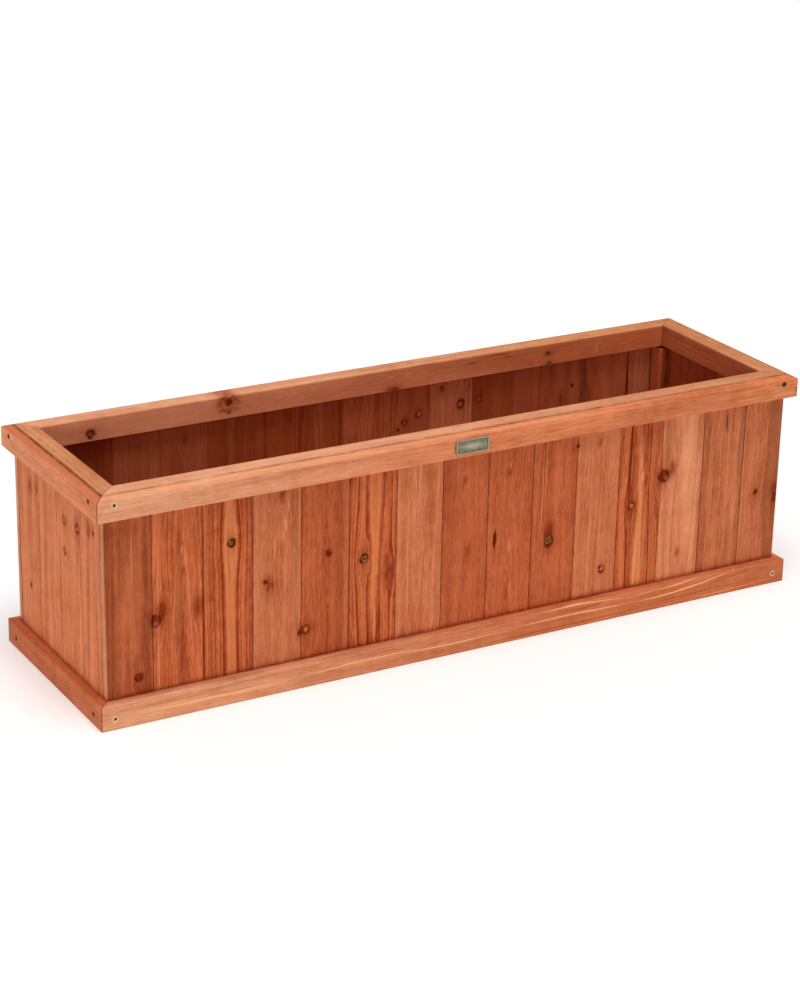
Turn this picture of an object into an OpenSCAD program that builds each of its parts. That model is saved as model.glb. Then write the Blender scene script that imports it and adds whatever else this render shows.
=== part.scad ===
// Long wooden planter box, standing free on the floor.
// Four walls of tongue-and-groove boards stand in a rabbet under a mitred rim, and
// mitred trims are screwed round them at the top and at the base. Inside are corner
// posts, two battens and a slatted floor that lets water out.
// Millimetres. The origin is on the floor under the middle of the box. +X runs along
// its length, the front faces -Y, and +Z is up.

/* [Box] */
// Length over the wall boards
body_len = 992; // [700:1:1300]
// Depth over the wall boards
body_depth = 274; // [220:1:420]
// Height from the floor to the top of the rim
body_h = 299; // [200:1:420]

/* [Wall boards] */
// Thickness of a wall board
board_t = 10; // [8:0.5:14]
// Width that a full board shows between two seams
board_pitch = 66.8; // [50:0.1:90]
// Narrowest board that may be left at the end of a wall
board_min = 40; // [30:1:50]
// Thickness of a tongue
tongue_t = 3; // [2:0.1:4]
// How far a tongue stands out of its board
tongue_len = 5; // [3:0.5:8]
// Play round a tongue in its groove
tongue_play = 0.2; // [0.1:0.05:0.4]
// Open seam between two boards
seam = 0.3; // [0.1:0.1:0.8]
// Chamfer along the outer edges of a board
arris = 0.7; // [0.3:0.1:1.5]
// Height of the boards' lower ends above the floor
board_lift = 3; // [0:0.5:8]

/* [Rim] */
// Width of the rim seen from above
rim_w = 24.5; // [20:0.5:36]
// Height of the rim's inner face
rim_h = 31; // [24:0.5:45]
// How far the boards' upper ends lie below the edge of the top trim's face
board_drop = 1.5; // [1:0.5:5]
// Rounding of the rim's edges
rim_round = 2; // [0.5:0.1:3]
// Open joint between two mitred ends
mitre_gap = 0.5; // [0.1:0.1:1]

/* [Trims] */
// Thickness of the trims
trim_t = 12; // [9:0.5:18]
// Height of the top trim's upright face
top_trim_face = 25.6; // [16:0.1:40]
// Rise of the top trim's sloping shoulder
top_trim_rise = 4.3; // [2:0.1:10]
// How far the rim stands above the shoulder
rim_reveal = 0.6; // [0:0.1:3]
// Rounding between the top trim's face and shoulder
shoulder_round = 2.4; // [1:0.1:4]
// Height of the base trim's upright face
base_trim_face = 32.5; // [22:0.5:60]
// Rise of the base trim's top edge towards the wall
base_trim_rise = 1.5; // [0.5:0.1:4]
// Rounding of the trims' other edges
trim_round = 0.9; // [0.4:0.1:2]

/* [Screws] */
// Diameter of a screw's head
screw_head_d = 8; // [6:0.5:10]
// Height of the countersunk head
screw_head_h = 2.6; // [2:0.1:4]
// Diameter of a screw's shank
screw_d = 3.5; // [3:0.1:5]
// Length of a screw's point
screw_point = 4; // [2:0.5:6]
// Board left behind a screw's tip
screw_cover = 1.7; // [1:0.1:3]
// How deep a screw's head lies below the trim's face
screw_sink = 0.3; // [0.1:0.1:1]
// Play round a screw in its hole
screw_play = 0.1; // [0.05:0.05:0.3]
// Distance of the long sides' upper screws from the wall's corner
top_screw_inset = 10.5; // [6:0.5:24]
// Distance of the long sides' lower screws from the wall's corner
base_screw_inset = 6; // [5:0.5:24]
// Wood between an end board's edge and the middle of its screw
screw_edge = 3.5; // [3:0.5:8]
// Distance of the upper screws below the boards' upper ends
screw_drop = 4; // [3.5:0.5:8]
// Height of the lower screws above the floor
base_screw_z = 14; // [11:0.5:20]
// Span of the cross recess in a screw's head
recess_span = 4.6; // [3:0.1:6]
// Width of the recess's arms
recess_w = 1.8; // [0.6:0.1:2]
// Depth of the recess
recess_depth = 1.7; // [0.8:0.1:2]

/* [Inside] */
// Side of the square corner posts
post = 18; // [12:0.5:30]
// Rounding of a post's or batten's free edge
post_round = 1.5; // [0.5:0.5:4]
// Open space between a post's top and the rim
post_gap = 4; // [1:0.5:10]
// Side of the square battens under the floor
batten = 18; // [12:0.5:26]
// Thickness of a floor slat
slat_t = 10; // [8:0.5:16]
// Width of a floor slat
slat_w = 64; // [50:0.5:90]
// Least gap between two slats, for drainage
slat_gap = 5; // [3:0.5:10]
// Play between the floor and what stands round it
floor_play = 0.5; // [0.3:0.1:1]
// Diameter of a floor nail
nail_d = 2.2; // [1.8:0.1:3]
// Diameter of a floor nail's head
nail_head_d = 4.5; // [4:0.1:6]
// Thickness of a floor nail's head
nail_head_h = 0.8; // [0.5:0.1:1.2]
// How far a floor nail goes into its batten
nail_bite = 14; // [8:0.5:18]
// Play round a nail in its hole
nail_play = 0.1; // [0.05:0.05:0.3]

/* [Plate] */
// Length of the bare metal plate
plate_len = 47; // [30:0.5:80]
// Trim left below the plate
plate_foot = 4.5; // [2:0.5:6]
// Trim left between the plate and the edge of the trim's face
plate_head = 2; // [1.5:0.5:6]
// Thickness of the plate
plate_t = 1.4; // [0.8:0.1:2]
// Width of the plate's raised border
plate_border = 1.4; // [0.8:0.1:3]
// Height of the border over the bare field
plate_step = 0.5; // [0.2:0.1:0.8]
// Rounding of the plate's corners
plate_round = 1; // [0.3:0.1:3]

/* [Hidden] */
$fn = 48;
arc_steps = 4;

// Sides in order round the box, each 90 degrees on from the last
SIDES = ["front", "right", "back", "left"];
ALL_SIDES = [0 : 3];

// The long walls cover the edges of the end walls, which stand between them
function side_run(side) = side % 2 == 0 ? body_len : body_depth;
function wall_run(side) = side % 2 == 0 ? body_len : inside_depth - 2 * seam;

// A wall has full boards in the middle and two ripped ones of equal width at its ends
function full_boards(run) = floor((run - 2 * board_min) / board_pitch);
function board_count(run) = full_boards(run) + 2;
function seam_x(run, i) =
    i == 0 ? -run / 2 :
    i == board_count(run) ? run / 2 :
    (i - 1 - full_boards(run) / 2) * board_pitch;

inside_len = body_len - 2 * board_t;
inside_depth = body_depth - 2 * board_t;
rim_bottom = body_h - rim_h;
shoulder_z = body_h - rim_reveal - top_trim_rise;
top_trim_z = shoulder_z - top_trim_face;
board_top = shoulder_z - board_drop;
top_screw_z = board_top - screw_drop;
screw_len = trim_t - screw_sink + board_t - screw_cover;
tongue_mid = board_t / 2;
slat_z = board_lift + batten;
slat_count = floor((inside_len + slat_gap) / (slat_w + slat_gap));
slat_step = (inside_len - 2 * floor_play - slat_w) / (slat_count - 1);
nail_y = (inside_depth - batten) / 2;

// Stain tones, from the palest board to the darkest
PALE = "#d08a5e";
TAN = "#c67a52";
ORANGE = "#bd6a40";
RED = "#b05c38";
DARK = "#a05433";
FRONT_TONES = [DARK, ORANGE, ORANGE, TAN, RED, ORANGE, TAN, RED, RED, ORANGE, TAN, ORANGE,
               PALE, DARK, TAN];
OTHER_TONES = [RED, ORANGE, TAN, RED, ORANGE, TAN, DARK];
function board_tone(side, i) =
    side == 0 ? FRONT_TONES[(i - 1) % len(FRONT_TONES)] :
    OTHER_TONES[(i * 3 + side) % len(OTHER_TONES)];

// Outlines with rounded corners: each corner is replaced by an arc tangent to its sides
function unit(v) = v / norm(v);
function corner_arc(before, at, after, r) =
    r <= 0 ? [at] :
    let (u = unit(before - at), w = unit(after - at),
         half = acos(u * w) / 2,
         reach = r / tan(half),
         centre = at + unit(u + w) * r / sin(half),
         from = at + u * reach - centre,
         to = at + w * reach - centre,
         start = atan2(from.y, from.x),
         swing = atan2(to.y, to.x) - start,
         turn = swing > 180 ? swing - 360 : swing < -180 ? swing + 360 : swing)
    [for (k = [0 : arc_steps])
        let (a = start + turn * k / arc_steps) centre + r * [cos(a), sin(a)]];
function rounded(points, radii) =
    let (n = len(points))
    [for (i = [0 : n - 1])
        each corner_arc(points[(i + n - 1) % n], points[i], points[(i + 1) % n], radii[i])];

// Puts a piece on one side of the box. There x runs along the side, y = 0 is the wall's
// outer face and +y goes into the box.
module on_side(side) {
    rotate(90 * side) translate([0, -side_run(side + 1) / 2, 0]) children();
}

// A profile drawn in y and z, run along a side and mitred at both ends
module mitred(run, outline, y_out, y_in) {
    cut = mitre_gap / sqrt(2);
    intersection() {
        rotate([90, 0, 90]) linear_extrude(height = run - 2 * y_out, center = true)
            polygon(outline);
        linear_extrude(height = 2 * body_h) polygon([
            [-run / 2 + y_out + cut, y_out], [run / 2 - y_out - cut, y_out],
            [run / 2 - y_in - cut, y_in], [-run / 2 + y_in + cut, y_in]]);
    }
}

// Places of the two screws at one height on a side
module at_screws(side, z, inset) {
    x = side % 2 == 0 ? body_len / 2 - inset : inside_depth / 2 - screw_edge;
    for (end = [-1, 1])
        translate([end * x, screw_sink - trim_t, z]) rotate([-90, 0, 0]) children();
}

module screw_body(play) {
    cylinder(h = screw_head_h, r1 = screw_head_d / 2 + play, r2 = screw_d / 2 + play);
    cylinder(h = screw_len - screw_point, r = screw_d / 2 + play);
    translate([0, 0, screw_len - screw_point])
        cylinder(h = screw_point + play, r1 = screw_d / 2 + play, r2 = play + 0.3);
}

// The space that a screw takes, with a clear mouth out of the trim's face
module screw_hole() {
    screw_body(screw_play);
    translate([0, 0, -2 * screw_sink])
        cylinder(h = 2 * screw_sink, r = screw_head_d / 2 + screw_play);
}

module top_screw_holes(side) {
    at_screws(side, top_screw_z, top_screw_inset) screw_hole();
}

module base_screw_holes(side) {
    at_screws(side, base_screw_z, base_screw_inset) screw_hole();
}

module screw() {
    difference() {
        screw_body(0);
        for (turn = [45, 135]) rotate(turn)
            translate([-recess_span / 2, -recess_w / 2, -1])
                cube([recess_span, recess_w, 1 + recess_depth]);
    }
}

// Section of a wall board from above: tongue on its right, groove on its left, and a
// plain edge where it ends the wall
function board_outline(run, i) =
    let (last = i == board_count(run),
         x0 = seam_x(run, i - 1) + (i == 1 ? 0 : seam / 2),
         x1 = seam_x(run, i) - (last ? 0 : seam / 2),
         half_t = tongue_t / 2,
         half_g = half_t + tongue_play,
         groove = tongue_len - seam + tongue_play)
    concat(
        [[x0, board_t]],
        i == 1 ? [] : [
            [x0, tongue_mid + half_g], [x0 + groove, tongue_mid + half_g],
            [x0 + groove, tongue_mid - half_g], [x0, tongue_mid - half_g]],
        [[x0, arris], [x0 + arris, 0], [x1 - arris, 0], [x1, arris]],
        last ? [] : [
            [x1, tongue_mid - half_t], [x1 + tongue_len, tongue_mid - half_t],
            [x1 + tongue_len, tongue_mid + half_t], [x1, tongue_mid + half_t]],
        [[x1, board_t]]);

module wall_board(side, i) {
    run = wall_run(side);
    color(board_tone(side, i)) on_side(side) difference() {
        translate([0, 0, board_lift]) linear_extrude(height = board_top - board_lift)
            polygon(board_outline(run, i));
        if (i == 1 || i == board_count(run)) {
            top_screw_holes(side);
            base_screw_holes(side);
        }
    }
}

// L-shaped rim rail: its lip covers the boards' ends and its leg hangs inside the wall
module rim_rail(side) {
    outline = rounded(
        [[0, board_top], [0, body_h], [rim_w, body_h], [rim_w, rim_bottom],
         [board_t, rim_bottom], [board_t, board_top]],
        [0, rim_round, rim_round, rim_round / 2, 0, 0]);
    color(TAN) on_side(side) mitred(side_run(side), outline, 0, rim_w);
}

// Trim round the top: an upright face under a sloping shoulder
module top_trim(side) {
    outline = rounded(
        [[0, top_trim_z], [-trim_t, top_trim_z], [-trim_t, shoulder_z],
         [0, shoulder_z + top_trim_rise]],
        [0, trim_round, shoulder_round, trim_round]);
    color(PALE) on_side(side) difference() {
        mitred(side_run(side), outline, -trim_t, 0);
        top_screw_holes(side);
    }
}

// Trim round the base, which the box stands on
module base_trim(side) {
    outline = rounded(
        [[0, 0], [-trim_t, 0], [-trim_t, base_trim_face],
         [0, base_trim_face + base_trim_rise]],
        [0, trim_round, 2 * trim_round, trim_round / 2]);
    color(PALE) on_side(side) difference() {
        mitred(side_run(side), outline, -trim_t, 0);
        base_screw_holes(side);
    }
}

// Square post in the corner at the left end of a side, its inner edge rounded
module corner_post(side) {
    outline = rounded([[0, 0], [post, 0], [post, post], [0, post]], [0, 0, post_round, 0]);
    color(TAN) on_side(side)
        translate([board_t - side_run(side) / 2, board_t, board_lift])
        linear_extrude(height = rim_bottom - post_gap - board_lift) polygon(outline);
}

// Batten along a long wall, from post to post, that carries the floor
module floor_batten(side) {
    outline = rounded(
        [[board_t, board_lift], [board_t + batten, board_lift],
         [board_t + batten, slat_z], [board_t, slat_z]],
        [0, post_round, 0, 0]);
    color(TAN) difference() {
        on_side(side) rotate([90, 0, 90])
            linear_extrude(height = inside_len - 2 * post - 2 * floor_play, center = true)
            polygon(outline);
        nail_holes();
    }
}

module at_nails() {
    for (i = [0 : slat_count - 1], end = [-1, 1])
        translate([(i - (slat_count - 1) / 2) * slat_step, end * nail_y, slat_z + slat_t])
            children();
}

module nail_holes() {
    at_nails() translate([0, 0, -slat_t - nail_bite - nail_play])
        cylinder(h = slat_t + nail_bite + 1, r = nail_d / 2 + nail_play);
}

// Slats across the box with drainage gaps, the end ones notched round the posts
module floor_slats() {
    notch = post + floor_play;
    color(RED) difference() {
        for (i = [0 : slat_count - 1])
            translate([(i - (slat_count - 1) / 2) * slat_step - slat_w / 2,
                       -inside_depth / 2 + floor_play, slat_z])
            cube([slat_w, inside_depth - 2 * floor_play, slat_t]);
        for (end_x = [-1, 1], end_y = [-1, 1])
            translate([end_x * (inside_len - notch) / 2, end_y * (inside_depth - notch) / 2,
                       slat_z + slat_t / 2])
            cube([notch, notch, 2 * slat_t], center = true);
        nail_holes();
    }
}

module floor_nails() {
    color("#9a9a96") at_nails() {
        cylinder(h = nail_head_h, r = nail_head_d / 2);
        translate([0, 0, -slat_t - nail_bite + nail_d])
            cylinder(h = slat_t + nail_bite - nail_d, r = nail_d / 2);
        translate([0, 0, -slat_t - nail_bite])
            cylinder(h = nail_d, r1 = 0.2, r2 = nail_d / 2);
    }
}

module trim_screws() {
    color("#c9a45a") for (side = ALL_SIDES) on_side(side) {
        at_screws(side, top_screw_z, top_screw_inset) screw();
        at_screws(side, base_screw_z, base_screw_inset) screw();
    }
}

// Bare plate with a raised border, in the middle of the front trim's upright face
module name_plate() {
    plate_h = top_trim_face - plate_foot - plate_head;
    frame = [[-plate_len, -plate_h], [plate_len, -plate_h], [plate_len, plate_h],
             [-plate_len, plate_h]] / 2;
    field = [for (p = frame) p - plate_border * [sign(p.x), sign(p.y)]];
    color("#7d7a66") on_side(0)
        translate([0, -trim_t, top_trim_z + plate_foot + plate_h / 2]) rotate([90, 0, 0])
        difference() {
            linear_extrude(height = plate_t)
                polygon(rounded(frame, [for (p = frame) plate_round]));
            translate([0, 0, plate_t - plate_step]) linear_extrude(height = plate_t)
                polygon(field);
        }
}

for (side = ALL_SIDES, i = [1 : board_count(wall_run(side))])
    wall_board(side, i);
for (side = ALL_SIDES) {
    rim_rail(side);
    top_trim(side);
    base_trim(side);
    corner_post(side);
}
floor_batten(0);  // front_batten
floor_batten(2);  // back_batten
floor_slats();
floor_nails();
trim_screws();
name_plate();
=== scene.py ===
# %% [markdown]
# A long wooden planter box, about a metre long, open at the top. It is built of upright
# tongue-and-groove boards under a mitred rim, with mitred trims round the top and the
# base, and stained a warm reddish brown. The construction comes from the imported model:
# every board, rail, trim, post, slat, screw and nail is already there at its real size.
# This lesson dresses those pieces. Nearly all of the work is in the wood: each board was
# sawn from another place in the log, so each gets its own rings, knots and tone, laid in
# three dimensions through its whole thickness, so that the face and the edge agree.

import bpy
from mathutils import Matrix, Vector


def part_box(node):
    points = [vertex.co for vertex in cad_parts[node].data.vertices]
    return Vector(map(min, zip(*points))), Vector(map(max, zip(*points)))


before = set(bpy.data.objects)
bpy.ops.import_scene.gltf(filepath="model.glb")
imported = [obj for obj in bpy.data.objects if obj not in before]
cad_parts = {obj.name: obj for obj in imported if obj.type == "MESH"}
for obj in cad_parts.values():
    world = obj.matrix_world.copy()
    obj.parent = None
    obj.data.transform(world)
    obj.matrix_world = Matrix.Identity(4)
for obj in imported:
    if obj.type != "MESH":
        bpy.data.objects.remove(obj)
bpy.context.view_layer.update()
print("pieces loaded:", len(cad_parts))

# %% [markdown]
# Some of what follows is plain geometry, so the usual modules come in here. Blender
# measures in metres, and wood is easier to think about in millimetres, so places and
# sizes below are in millimetres and are turned into metres where Blender needs them.

# %% Modules and units
import math
import random

import bpy
from mathutils import Matrix, Vector

MM = 0.001
body_half_len = 496.0
body_half_depth = 137.0
board_thickness = 10.0
trim_thickness = 12.0

# %% [markdown]
# The camera stands at the front left and looks down a little. Its place was worked out
# from the corners of the rim and the base: which way it looks (azimuth and elevation),
# a small lean to one side (roll), how far it is from a point in the middle of the box,
# and how long its lens is, counted in pixels of a picture that is 1000 pixels high.

# %% Place the camera
view_azimuth = math.radians(-30.08)
view_elevation = math.radians(21.47)
view_roll = math.radians(1.2)
view_distance = 3416.8
view_target = Vector((-16.7, 0.0, 160.04))
focal_pixels = 2613.1
picture_height = 1000.0

forward = Vector((-math.sin(view_azimuth) * math.cos(view_elevation),
                  math.cos(view_azimuth) * math.cos(view_elevation),
                  -math.sin(view_elevation)))
level_right = forward.cross(Vector((0, 0, 1))).normalized()
level_up = level_right.cross(forward)
right = level_right * math.cos(view_roll) + level_up * math.sin(view_roll)
up = level_up * math.cos(view_roll) - level_right * math.sin(view_roll)
eye = (view_target - forward * view_distance) * MM

camera = bpy.data.objects.new("camera", bpy.data.cameras.new("camera"))
bpy.context.scene.collection.objects.link(camera)
camera.data.angle = 2 * math.atan(picture_height / 2 / focal_pixels)
camera.data.clip_end = 100
camera.matrix_world = Matrix.Translation(eye) @ Matrix((right, up, -forward)).transposed().to_4x4()
bpy.context.scene.camera = camera
print("camera at", [round(c, 3) for c in eye])

# %% [markdown]
# Shader maths soon turns into a tangle of nodes. It reads better as arithmetic, so a small
# class wraps an output socket: adding or multiplying wrapped sockets makes the Math
# nodes. Any other node comes from its one method, node, which sets the node's own settings
# first and then fills its input sockets. The function that fills them serves the shader of
# a material just as well.

# %% Shader sockets as arithmetic
class Shade:
    """One output socket, with which shader maths is written as plain expressions."""

    def __init__(self, tree, socket):
        self.tree = tree
        self.socket = socket

    def node(self, kind, settings=None, inputs=None, output=0):
        made = self.tree.nodes.new(kind)
        for name, setting in (settings or {}).items():
            setattr(made, name, setting)
        fill(made, inputs or {})
        return Shade(self.tree, made.outputs[output])

    def sibling(self, output):
        return Shade(self.tree, self.socket.node.outputs[output])

    def maths(self, operation, *values):
        return self.node("ShaderNodeMath", {"operation": operation}, dict(enumerate(values)))

    def __add__(self, other):
        return self.maths("ADD", self, other)

    def __radd__(self, other):
        return self.maths("ADD", other, self)

    def __sub__(self, other):
        return self.maths("SUBTRACT", self, other)

    def __rsub__(self, other):
        return self.maths("SUBTRACT", other, self)

    def __mul__(self, other):
        return self.maths("MULTIPLY", self, other)

    def __rmul__(self, other):
        return self.maths("MULTIPLY", other, self)

    def __truediv__(self, other):
        return self.maths("DIVIDE", self, other)

    def __rtruediv__(self, other):
        return self.maths("DIVIDE", other, self)

    def __neg__(self):
        return self.maths("MULTIPLY", self, -1.0)

    def __abs__(self):
        return self.maths("ABSOLUTE", self)

    def root(self):
        return self.maths("SQRT", self)

    def whole(self):
        return self.maths("FLOOR", self)

    def part(self):
        return self.maths("FRACT", self)

    def least(self, other):
        return self.maths("MINIMUM", self, other)

    def most(self, other):
        return self.maths("MAXIMUM", self, other)

    def clamped(self):
        return self.most(0.0).least(1.0)


def fill(node, inputs):
    """Fills a node's input sockets: a wrapped socket is linked and a plain value is set."""
    for name, value in inputs.items():
        if isinstance(value, Shade):
            value.tree.links.new(value.socket, node.inputs[name])
        else:
            node.inputs[name].default_value = value


print("shader sockets can be added, subtracted, multiplied and divided")

# %% [markdown]
# A few shapes of curve come up again and again. A step rises softly from 0 to 1 between two
# values. A bell is 1 at zero and fades on both sides. Noise comes in lumps of a given size
# in millimetres along X, Y and Z, so a long thin lump is a fibre and a wide one a stain.
# Random picks one steady number for each whole number. Colours blend by a mask, and they
# are written as they look on a screen and turned into the linear values that light needs.

# %% Curves, noise and colours
def step(value, low, high):
    return value.node("ShaderNodeMapRange", {"interpolation_type": "SMOOTHSTEP"},
                      {"Value": value, "From Min": low, "From Max": high})


def bell(value, width):
    scaled = value / width
    return value.maths("EXPONENT", -(scaled * scaled))


def noise(place, lump, seed, detail, roughness=0.5):
    stretched = place.node("ShaderNodeMapping", None, {
        "Vector": place, "Location": (seed, seed * 1.7, seed * 2.3),
        "Scale": tuple(1 / size for size in lump)})
    return place.node("ShaderNodeTexNoise", None, {
        "Vector": stretched, "Scale": 1.0, "Detail": detail, "Roughness": roughness})


def line_noise(value, seed):
    return value.node("ShaderNodeTexNoise", {"noise_dimensions": "1D"}, {
        "W": value + seed, "Scale": 1.0, "Detail": 1.0})


def random_of(value, seed):
    return value.node("ShaderNodeTexWhiteNoise", {"noise_dimensions": "1D"}, {"W": value + seed})


def blend(mask, low, high):
    # The Mix node's colour sockets share their names with others, so numbers call them
    return mask.node("ShaderNodeMix", {"data_type": "RGBA"}, {0: mask, 6: low, 7: high}, 2)


def screen(red, green, blue):
    linear = [((c / 255 + 0.055) / 1.055) ** 2.4 if c > 10 else c / 255 / 12.92
              for c in (red, green, blue)]
    return (*linear, 1.0)


print("a screen grey of 128 is", round(screen(128, 128, 128)[0], 3), "in linear light")

# %% [markdown]
# Every finish starts the same way: a new material with its one shader, and the place on the
# piece in millimetres. Object coordinates are used, because each piece's object sits at the
# origin, so they are the real place in the box and never slide when the view changes.

# %% Start a finish
def new_finish(name):
    material = bpy.data.materials.new(name)
    material.use_nodes = True
    tree = material.node_tree
    shader = tree.nodes["Principled BSDF"]
    metres = Shade(tree, None).node("ShaderNodeTexCoord", output="Object")
    place = metres.node("ShaderNodeVectorMath", {"operation": "SCALE"},
                        {0: metres, "Scale": 1 / MM})
    return material, shader, place


def bumped(height, distance):
    """A bumpy surface, where a height of 1 is worth the given distance in millimetres."""
    return height.node("ShaderNodeBump", None, {
        "Height": height, "Distance": distance * MM, "Strength": 0.25})


def dress(node_name, material):
    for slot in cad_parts[node_name].material_slots:
        slot.material = material


print("material slots on a board:", len(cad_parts["front_board_1"].material_slots))

# %% [markdown]
# The whole box was stained one warm reddish brown, but the late wood in each ring is darker
# than the early wood to begin with, and no two boards take the stain alike. So a tone is
# two colours, and each board has a tone of its own. Knots, marks and the dirt in the seams
# have their own colours, which are blended over the tone.

# %% Tones of stain
# Each tone: the colour of the early wood and of the late wood
TONES = {
    "deep": (screen(190, 94, 50), screen(118, 38, 12)),
    "brown": (screen(202, 110, 68), screen(126, 46, 18)),
    "red": (screen(202, 107, 66), screen(144, 54, 22)),
    "orange": (screen(216, 118, 72), screen(144, 52, 18)),
    "amber": (screen(210, 123, 80), screen(156, 70, 36)),
    "pink": (screen(211, 125, 83), screen(158, 72, 38)),
    "tan": (screen(217, 130, 87), screen(164, 76, 40)),
    "sand": (screen(214, 144, 98), screen(160, 86, 46)),
    "pale": (screen(234, 150, 106), screen(176, 90, 48)),
    "honey": (screen(228, 138, 92), screen(170, 80, 42)),
    "bare": (screen(234, 168, 128), screen(190, 113, 74)),
    "glow": (screen(248, 164, 122), screen(200, 106, 66)),
}
knot_pit_colour = screen(78, 24, 0)
knot_shade_colour = screen(136, 46, 14)
pale_mark_colour = screen(240, 164, 118)
pale_figure_colour = screen(250, 182, 130)
dark_mark_colour = screen(92, 30, 0)
# Dirt and painted shade in joints, seams, mitres, grooves and corners, and the painted shadow
# under the top trim
joint_dirt_and_shade_colour = screen(84, 24, 6)
# Painted shade at the foot of the walls, and painted shade with dirt along the base trims
foot_shade_and_dirt_colour = screen(132, 42, 10)
print("tones of stain:", ", ".join(TONES))

# %% [markdown]
# A finish takes its place along the grain, across the face and into the wood from one axis
# each, so the same functions serve an upright board, a rail along the front and a trim
# across the end. Along the grain run several patterns, from pores half a millimetre wide
# to a slow wander of the whole log. They differ only in the size of their lumps and in how
# rough they are, so one table holds them, and each drifts about zero.

# %% Patterns along the grain
AXES = {"X": 0, "Y": 1, "Z": 2}
# Each pattern: how wide and how long its lumps are, a number that sets it apart from the
# others, how many finer layers it has and how rough they make it
PATTERNS = {
    "ragged": (6.0, 8.0, 0, 2.0, 0.5),
    "crumb": (2.4, 3.2, 21, 2.0, 0.5),
    "wander": (60.0, 240.0, 3, 2.0, 0.5),
    "ripple": (9.0, 70.0, 5, 2.0, 0.5),
    "fibre": (1.2, 14.0, 7, 3.0, 0.6),
    "streak": (4.6, 300.0, 19, 5.0, 0.8),
    "broad": (16.0, 130.0, 9, 3.0, 0.5),
    "stain": (30.0, 30.0, 13, 5.0, 0.65),
    "pore": (0.5, 10.0, 15, 1.0, 0.5),
}


class Wood:
    """Where a point lies in one piece's wood, and the patterns that run along its grain."""

    def __init__(self, place, axes, seed):
        coords = place.node("ShaderNodeSeparateXYZ", None, {0: place})
        self.seed = seed
        self.axis = {name: coords.sibling(name) for name in AXES}
        self.along, self.across, self.depth = (self.axis[name] for name in axes)
        for kind, (width, length, apart, detail, roughness) in PATTERNS.items():
            lump = tuple(length if name == axes[0] else width for name in AXES)
            setattr(self, kind, noise(place, lump, seed + apart, detail, roughness) - 0.5)


print("patterns along the grain:", ", ".join(PATTERNS))

# %% [markdown]
# A knot is a branch that the saw cut through. The grain flows round it as water flows
# round a stone, which is the formula used for the bend below. The knot itself is a few
# spots of colour, one over another: its core, the dark rim of its bark and the pit in its
# middle. Noise makes its outline ragged, and a reddish shade feathers out above and below.

# %% Knots
# Each kind of knot: the colours of its core and of its rim, how wide the rim is, and how
# strong its core, its rim, the dark pit in its middle and the shade round it are
KNOT_KINDS = {
    "tight": (screen(130, 48, 20), screen(98, 28, 0), 0.36, 0.85, 1.0, 0.15, 0.55),
    "dead": (screen(186, 140, 84), screen(84, 26, 0), 0.3, 0.95, 1.25, 0.9, 0.6),
    "pin": (screen(114, 34, 0), screen(114, 34, 0), 0.36, 1.0, 0.8, 0.2, 0.5),
    "ring": (screen(208, 118, 74), screen(116, 38, 2), 0.36, 0.8, 1.1, 0.0, 0.5),
    "soft": (screen(188, 100, 64), screen(134, 50, 14), 0.35, 0.65, 0.9, 0.0, 0.35),
    "heart": (screen(158, 88, 62), screen(158, 88, 62), 0.36, 0.75, 0.0, 0.0, 0.0),
    "halo": (screen(158, 88, 62), screen(152, 58, 28), 0.36, 0.0, 0.75, 0.0, 0.12),
    "rosy": (screen(150, 66, 36), screen(96, 28, 4), 0.36, 0.85, 0.9, 0.0, 0.25),
    "bead": (screen(130, 46, 20), screen(100, 30, 6), 0.36, 0.95, 0.7, 0.25, 0.1),
    "swirl": (screen(140, 54, 22), screen(120, 40, 16), 0.36, 0.2, 0.0, 0.0, 0.9),
}
# Shares of a knot's radius: where the core fades, where the rim lies and where the pit fades
core_fade = (0.6, 0.95)
rim_reach = 0.76
pit_fade = (0.26, 0.5)


def knots_in(wood, knots):
    """How far the knots bend the grain, how they shade it and the spots of colour they are."""
    bend, shade, spots = 0.0, 0.0, []
    for knot_across, knot_along, radius, kind in knots:
        core_colour, rim_colour, rim_width, *strengths = KNOT_KINDS[kind]
        core_strength, rim_strength, pit_strength, shade_strength = strengths
        aside = wood.across - knot_across + wood.ragged * (1.1 * radius)
        above = wood.along - knot_along + wood.crumb * (0.9 * radius)
        aside_2 = aside * aside
        above_2 = above * above
        pull = (1.5 * radius ** 2 / (aside_2 + above_2 * 0.09 + 0.01)).least(1.0)
        bend = bend + (wood.across - knot_across) * pull
        shade = shade + bell((aside_2 / 2.6 + above_2 / 9.0).root(), radius) * shade_strength
        reach = (aside_2 + above_2 * 0.85).root() / radius + wood.crumb * 0.4
        spots.append(((1 - step(reach, *core_fade)) * core_strength, core_colour))
        if rim_strength:
            rim = bell(reach - rim_reach, rim_width) * (0.95 + wood.ragged * 2.4)
            spots.append(((rim * rim_strength).clamped(), rim_colour))
        if pit_strength:
            spots.append(((1 - step(reach, *pit_fade)) * pit_strength, knot_pit_colour))
    return bend, shade, spots


print("kinds of knot:", ", ".join(KNOT_KINDS))

# %% [markdown]
# Softwood grows a ring a year: pale, wide early wood that darkens into a thin hard line of
# late wood, and then starts again at once. A board is a slice of those rings. Where the
# slice runs near the heart of the log and a little out of line with it, the rings come out
# as tall pointed flames, and far from the heart they come out as straight stripes. So the
# finish keeps the rings as what they are, shells round a line: radius is how far below the
# face the heart lies at the flame's tip, and taper is how fast it sinks towards the tip.
# Each ring gets its own strength, and slow noise makes the log wander as real ones do.

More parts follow.
